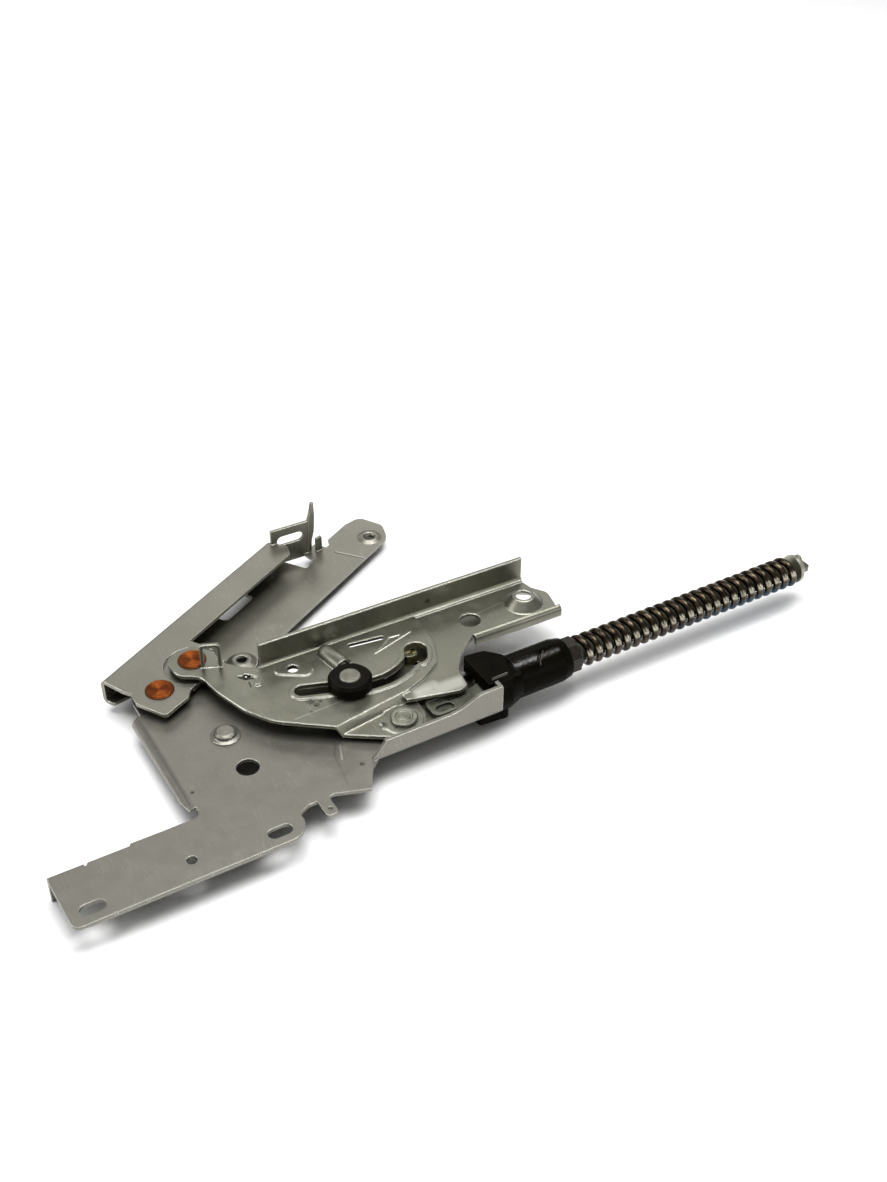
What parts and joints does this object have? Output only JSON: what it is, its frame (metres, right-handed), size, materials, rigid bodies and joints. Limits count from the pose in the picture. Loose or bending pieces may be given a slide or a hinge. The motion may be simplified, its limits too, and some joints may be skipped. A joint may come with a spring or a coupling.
{
  "type": "appliance door hinge",
  "caption": "Right-hand side hinge of a drop-down appliance door: stamped foot plate, channel arm, cam link with slot roller, and drawbar through a black guide and compression spring.",
  "frame": {"origin": "Upper face of the foot, midway between its two slots.", "axes": "+X runs along the foot and the spring towards the spring's free end, +Z is normal to the plates towards the rivet heads, +Y points from the foot to the door arm."},
  "size_m": [0.3487, 0.1789, 0.0314],
  "materials": {
    "galvanised_base": "zinc plated sheet, dull grey",
    "galvanised_arm": "zinc plated sheet, dull warm grey",
    "galvanised_link": "zinc plated sheet, dull greenish grey",
    "plain_steel": "bare turned steel",
    "drawbar_steel": "oiled dark strip steel",
    "copper_rivet": "copper plated rivet with turned rings",
    "greased_stud": "greased steel",
    "black_roller": "black moulded plastic",
    "black_guide": "black glass-filled plastic, slightly greasy",
    "guide_collar": "dark brown-black plastic",
    "spring_steel": "oil-dark spring wire"
  },
  "bodies": {
    "base": {"base_plate": "galvanised_base", "web_boss": "galvanised_base", "keyhole_stud": "greased_stud", "main_pivot_rivet": "copper_rivet", "main_pivot_spacer": "plain_steel", "roller_post": "plain_steel", "spring_guide": "black_guide", "guide_end_collar": "guide_collar", "spring_near_seat": "drawbar_steel"},
    "arm": {"door_arm": "galvanised_arm", "link_pivot_rivet": "copper_rivet", "link_pivot_washer": "plain_steel"},
    "link": {"link_plate": "galvanised_link", "rod_rivet": "plain_steel"},
    "drawbar": {"drawbar_lower_strap": "drawbar_steel", "drawbar_upper_strap": "drawbar_steel", "compression_spring": "spring_steel", "spring_end_seat": "drawbar_steel", "drawbar_end_key": "drawbar_steel"},
    "roller": {"slot_roller": "black_roller"}
  },
  "joints": [
    {"name": "arm_pivot", "type": "hinge", "parent": "base", "child": "arm", "pos_m": [0.0242, 0.0896, 0.003], "axis": [0, 0, 1], "range_deg": [0, 70], "deforming": ["compression_spring"]},
    {"name": "link_pivot", "type": "hinge", "parent": "arm", "child": "link", "pos_m": [0.0414, 0.0975, 0.006], "axis": [0, 0, 1], "range_deg": [-81, 1]},
    {"name": "rod_pivot", "type": "hinge", "parent": "link", "child": "drawbar", "pos_m": [0.1, 0.0265, 0.002], "axis": [0, 0, 1], "range_deg": [-1, 9]},
    {"name": "roller_spin", "type": "hinge", "parent": "base", "child": "roller", "pos_m": [0.089, 0.0502, 0.008], "axis": [0, 0, 1], "continuous": true}
  ],
  "couplings": [
    {"joint": "link_pivot", "follows": "arm_pivot", "ratio": -1.14},
    {"joint": "rod_pivot", "follows": "arm_pivot", "ratio": 0.11}
  ]
}
